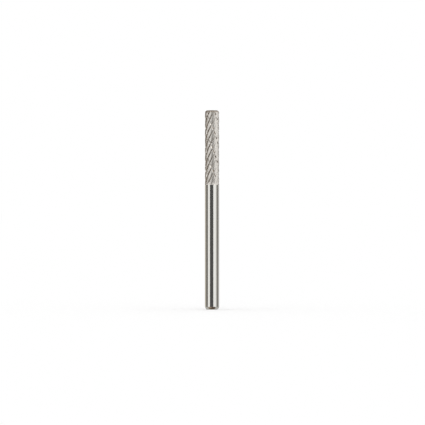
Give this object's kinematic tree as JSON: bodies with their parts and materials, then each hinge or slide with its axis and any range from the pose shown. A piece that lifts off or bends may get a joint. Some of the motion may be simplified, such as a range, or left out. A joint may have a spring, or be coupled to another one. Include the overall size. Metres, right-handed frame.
{
  "type": "carbide burr",
  "caption": "Solid carbide burr: a straight round shank and a double-cut cylindrical head with a rounded tip corner.",
  "frame": {"origin": "centre of the shank's end face, on the burr's axis", "axes": "+Z along the axis from the shank's end up to the tip of the cutting head"},
  "size_m": [0.0032, 0.0032, 0.0444],
  "materials": {
    "carbide": "ground tungsten carbide: bright ground shank, warm grey ground teeth"
  },
  "bodies": {
    "root": {"burr": "carbide"}
  },
  "joints": []
}
